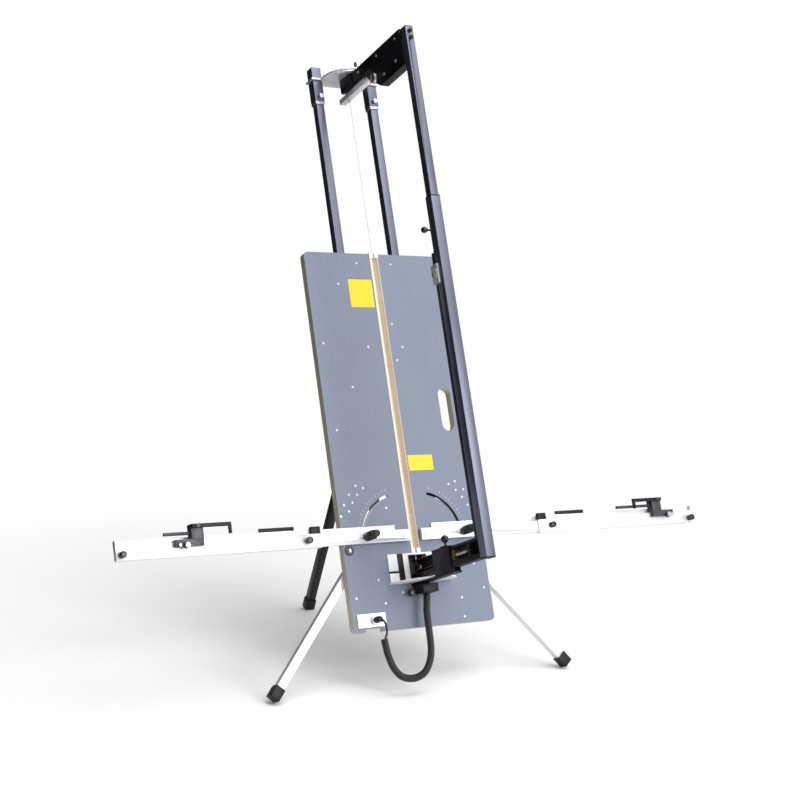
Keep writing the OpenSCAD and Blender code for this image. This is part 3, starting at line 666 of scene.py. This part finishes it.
def knobs():
    turned("slide_lock_ball", [(0, 0.1), (4.6, 0.1), (4.6, 2.4), (3.4, 3), (3.4, 9), (5.2, 9.6)]
           + ball_profile(11, 19.2), (-14.5, -184, 196), (0, 0, 1), "knob_plastic", "slide_lock_knob_body",
           ("slide_lock_knob",))
    turned("bow_clamp_ball", [(0, 0.1), (4.4, 0.1), (4.4, 2.6), (3, 3.2), (3, 18.4), (4.6, 19.4)]
           + ball_profile(9, 28.8), (-15.02, -359, 1042), (-1, 0, 0), "knob_plastic", "bow_clamp_knob_body",
           ("bow_clamp_knob",))
    turned("bracket_knob_turned", [(0, 0.05), (4, 0.05), (4, 6)]
           + [(r, 6 + h) for r, h in rounded_knob(10, 18)[1:]],
           (-40, 0, 97), (0, -1, 0), "knob_plastic", "bracket_knob_body", ("bracket_knob",))
    turned("depth_knob_turned", [(0, 0), (4, 0), (4, 2)]
           + [(r, 2 + h) for r, h in rounded_knob(14.5, 9)[1:]],
           (-14.02, -180, 1578), (-1, 0, 0), "steel", "depth_knob_body", ("depth_knob",))
    turned("top_angle_knob_turned", [(0, 0.02), (2.2, 0.02), (2.2, 5.8)]
           + [(r, 5.8 + h) for r, h in rounded_knob(10.6, 20, 2.4)[1:]],
           (0, -68, 1655.62), (0, 0, 1), "steel", "top_angle_knob_body", ("top_angle_knob",))
    for side, sign in SIDES:
        for kind, along, height, long in (("rail", RAIL_KNOB_AT, 260, 16), ("end", END_KNOB_AT, 254, 18)):
            node = side + "_" + kind + "_knob"
            at = (sign * (RAIL_START[side] + along), -16.82, height)
            turned(node + "_turned", [(0, 0), (3, 0), (3, 2.2)]
                   + [(r, 2.2 + h) for r, h in rounded_knob(9, long - 0.02, 2.6)[1:]],
                   at, (0, -1, 0), "knob_plastic", node + "_body", (node,))
        reach, rise = ARC_RADIUS * math.cos(RAIL_TILT_AT_REST), ARC_RADIUS * math.sin(RAIL_TILT_AT_REST)
        at = (sign * (ARC_PIVOT_X + reach), -17.3, ARC_PIVOT_Z + rise)
        node = side + "_arc_knob"
        fluted_knob(node + "_fluted", at, 13, 60.6, 8, node + "_body", node)


def coil_spring():
    """Wire coil with a hook at each end."""
    bm = bmesh.new()
    turns, radius, wire = 11, 6.6, 0.85
    made = bmesh.ops.create_circle(
        bm, segments=8, radius=wire * MM,
        matrix=Matrix.Translation((radius * MM, 0, 0)) @ Matrix.Rotation(math.pi / 2, 4, "X"),
    )
    edges = list({e for v in made["verts"] for e in v.link_edges})
    length = 56
    bmesh.ops.spin(
        bm, geom=made["verts"] + edges, axis=(0, 0, 1), cent=(0, 0, 0),
        dvec=(0, 0, length / (turns * 20) * MM), angle=2 * math.pi * turns, steps=turns * 20, use_merge=False,
    )
    holes = [e for e in bm.edges if e.is_boundary]
    bmesh.ops.holes_fill(bm, edges=holes)
    bmesh.ops.transform(bm, matrix=axis_matrix((0, -216, 168), (0, -1, 0)), verts=bm.verts)
    for start, end in ((-208, -217), (-271, -281.8)):
        hook = [(0, 0), (1, 0), (1, start - end), (0, start - end)]
        lathe(bm, hook, axis_matrix((0, start, 168), (0, -1, 0)), 10)
    for y in (-216, -272.5):
        block(bm, (-6.6, y - 1, 167.1), (6.6, y + 0.8, 168.9), 0.3)
    mesh = mesh_from(bm, "tension_spring_coil")
    link_piece("tension_spring_coil", mesh, "steel", "bow", ("tension_spring",))


# ---------------------------------------------------------------- marks, bolts and caps


def box_group(name, boxes, slot_name, body, bevel=0.3):
    bm = bmesh.new()
    for low, high in boxes:
        block(bm, low, high, bevel)
    return link_piece(name, mesh_from(bm, name), slot_name, body)


def scale_marks():
    """Angle ticks round both arcs, every 5 degrees and longer every 15."""
    for side, sign in SIDES:
        bm = bmesh.new()
        for degrees in range(5, 76, 5):
            long = 9 if degrees % 15 == 0 else 5
            a = math.radians(degrees)
            turn = Matrix.Rotation(-a * sign, 4, "Y")
            pivot = Matrix.Translation(Vector((sign * ARC_PIVOT_X, 0, ARC_PIVOT_Z)) * MM)
            inner = ARC_RADIUS + 13
            block(bm, (sign * inner, -0.14, -0.4), (sign * (inner + long), 0.1, 0.4), 0.05,
                  BOARD @ pivot @ turn)
        link_piece(side + "_arc_ticks", mesh_from(bm, side + "_arc_ticks"), "white_metal", "stand")


def washer_stud():
    rim = [(0, 0), (12.4, 0), (13, 0.6), (13, 3.4), (12, 4.4), (7.2, 4.4), (6.6, 3.6), (0, 3.6)]
    turned("washer_stud_rim", rim,
           (-212, 0, 227), (0, -1, 0), "knob_plastic", "stand")
    turned("washer_stud_core", [(0, 3.5), (6, 3.5), (6, 6.4), (5, 7.6), (2.6, 8.2), (0, 8.4)],
           (-212, 0, 227), (0, -1, 0), "steel", "stand")


def bracket_painted_shade():
    """Dark boxes set in the gaps between the white bracket's plates as painted shade of its hollow inside."""
    box_group("bracket_painted_shade", [
        ((-66.2, -2.2, 128.6), (-46.8, -0.05, 208.6)),
        ((-96, -2.2, 154.8), (-66, -0.05, 161.2)),
    ], "black_plastic", "stand", 0.1)


def bolt_group(name, places, direction, across, height, washer, slot_name, body):
    bm = bmesh.new()
    for at in places:
        hex_bolt(bm, at, direction, across, height, washer)
    link_piece(name, mesh_from(bm, name), slot_name, body)


def bolts():
    """Hex heads; the head plate's two point up, the masts' and crossbars' ones point back."""
    bm = bmesh.new()
    for x in (-62, 62):
        hex_bolt(bm, (x, 36, 1661), (0, 0, 1), 10, 4, 8)
    for x in (-MAST_X, MAST_X):
        for z in (120, 300, 560, 820, 1050):
            hex_bolt(bm, (x, MAST_BACK, z), (0, 1, 0), 10, 4, 8)
    link_piece("back_bolts", mesh_from(bm, "back_bolts"), "steel", "stand")
    bolt_group("crossbar_bolts", [(-145, 53, 262), (145, 53, 262), (-60, 53, 835), (60, 53, 835)],
               (0, 1, 0), 10, 4, 8, "steel", "stand")
    bolt_group("bow_top_bolts", [(0, -375.4, 1615), (0, -375.4, 1636)],
               (0, -1, 0), 9, 3.4, 6.5, "black_plastic", "bow")
    bolt_group("gusset_bolts", [(-14, -130, 1600), (-14, -300, 1575), (-14, -230, 1568)],
               (-1, 0, 0), 7, 2.4, 5, "steel", "bow")
    bolt_group("top_guide_bolts", [(-14, y, 1638) for y in (-90, -200, -310)],
               (-1, 0, 0), 6, 2, 4.4, "steel", "swivel")


def tube_caps():
    """Moulded plugs in the open tube ends."""
    bm = bmesh.new()
    for x in (-MAST_X, MAST_X):
        block(bm, (x - 12.5, MAST_FRONT, MAST_TOP - 5.3), (x + 12.5, MAST_BACK, MAST_TOP), 1.2)
        block(bm, (x - 12.4, MAST_FRONT + 0.1, 56.5), (x + 12.4, MAST_BACK - 0.1, 64), 1.0)
    link_piece("mast_plugs", mesh_from(bm, "mast_plugs"), "black_plastic", "stand")
    bm = bmesh.new()
    for half, low, high, bevel in ((UPPER_TUBE, 1644, 1652.5, 1.2), (LOWER_TUBE, 130.8, 138, 1.2),
                                   (LOWER_TUBE, 1136.5, 1143, 0.8)):
        block(bm, (-half, BOW_Y - half, low), (half, BOW_Y + half, high), bevel)
    link_piece("bow_plugs", mesh_from(bm, "bow_plugs"), "black_plastic", "bow")


def rail_trim():
    """Dark bars over the rails' upstands, thin dark strips painted as the shadow line along the shelves,
    rivets and the stops' screws.
    """
    for side, sign in SIDES:
        start, stop = RAIL_START[side], STOP_AT[side]
        box_group(side + "_rail_bar", [
            ((sign * (start + 75), -4.0, 292.8), (sign * (start + 180), -0.1, 303.4)),
            ((sign * (start + 1.6), -16.5, 277.9), (sign * (start + 30.4), -5.2, 298.5)),
        ], "black_plastic", side + "_slider", 0.7)
        # thin dark strips on the outer and inner shelves are painted shadow lines under the upstands
        box_group(side + "_shelf_painted_shadow", [
            ((sign * (start + 31), -13, 278.3), (sign * (start + 586), -6, 278.6)),
        ], "grey_block", side + "_slider", 0.08)
        box_group(side + "_inner_painted_shadow", [
            ((sign * 60, -13, 275.9), (sign * 245, -6, 276.2)),
        ], "grey_block", side + "_rail", 0.08)
        bm = bmesh.new()
        for along in (130, 210, 330, 450, 530):
            lathe(bm, [(0, 0), (2.9, 0), (2.9, 0.5), (2.2, 1.1), (0, 1.3)],
                  axis_matrix((sign * (start + along), -16.78, 260), (0, -1, 0)), 20)
        link_piece(side + "_rail_rivets", mesh_from(bm, side + "_rail_rivets"), "steel", side + "_slider")
        bm = bmesh.new()
        lathe(bm, [(0, 0), (4.9, 0), (4.9, 2), (4.2, 3), (2.2, 3), (2.0, 1.8), (0, 1.8)],
              axis_matrix((sign * (stop + 40), -38, 268), (0, -1, 0)), 28)
        lathe(bm, [(0, 0), (7.6, 0), (7.6, 1.4), (6.8, 2.2), (0, 2.2)],
              axis_matrix((sign * (stop + 22), -45.8, 266), (0, -1, 0)), 28)
        name = side + "_stop_screws"
        link_piece(name, mesh_from(bm, name), "dull_zinc", side + "_stop_body")


SOFTENED = {
    "masts": 0.9, "mast_extensions": 0.8, "mast_collars": 0.8, "head_plate": 0.6, "rear_crossbar": 0.8,
    "leg_plate": 0.8, "left_leg": 1.0, "right_leg": 1.0, "rear_leg": 1.0, "left_foot": 1.2, "right_foot": 1.2,
    "rear_foot": 1.2, "lower_bracket": 0.4, "hose_gland": 1.0, "top_guide": 0.7, "bottom_guide": 0.6,
    "guide_clamp": 0.6, "bow_lower_tube": 1.2, "bow_upper_tube": 1.0, "upper_gusset": 0.8, "wire_bar": 0.6,
    "lower_arm": 0.5, "wire_duct": 0.8, "switch_box": 0.8, "left_inner_rail": 0.4, "right_inner_rail": 0.4,
    "left_outer_rail": 0.4, "right_outer_rail": 0.4, "left_stop": 0.7, "right_stop": 0.7, "left_stop_arm": 0.6,
    "right_stop_arm": 0.6,
}

FLOOR_HALF, FLOOR_DROP = 30, 0.001
FLOOR_FADE_START, FLOOR_FADE_END = 0.8, 1.9


def lay_floor():
    """White paper that fades out into the backdrop."""
    mesh = bpy.data.meshes.new("floor")
    bm = bmesh.new()
    bmesh.ops.create_grid(bm, x_segments=1, y_segments=1, size=FLOOR_HALF)
    bmesh.ops.translate(bm, verts=bm.verts, vec=(0, 0, -FLOOR_DROP))
    bm.to_mesh(mesh)
    bm.free()
    floor = bpy.data.objects.new("floor", mesh)
    bpy.context.scene.collection.objects.link(floor)
    paper = Finish("floor_paper")
    place = paper.add("ShaderNodeTexCoord").outputs["Object"]
    tone = paper.number(paper.noise(place, 3, 3), 0, 1)
    paper.colour(paper.blend(tone, (0.90, 0.90, 0.90), (0.93, 0.93, 0.93)))
    paper.shader.inputs["Roughness"].default_value = 0.9
    from_middle = paper.add("ShaderNodeVectorMath", operation="LENGTH")
    paper.link(place, from_middle.inputs[0])
    fade = paper.number(from_middle.outputs["Value"], 1, 0, FLOOR_FADE_START, FLOOR_FADE_END)
    paper.link(fade, paper.shader.inputs["Alpha"])
    floor.data.materials.append(paper.material)


# ---------------------------------------------------------------- the whole scene

place_camera()
light_room()
ribbed_hose()
lead_and_plug()

for name, node in NODES.items():
    dress(node, SLOT_OF[name])
for name, width in SOFTENED.items():
    soften(name, width * MM)

knobs()
coil_spring()
scale_marks()
washer_stud()
bracket_painted_shade()
bolts()
tube_caps()
rail_trim()
lay_floor()

bpy.context.scene.view_settings.view_transform = "Standard"
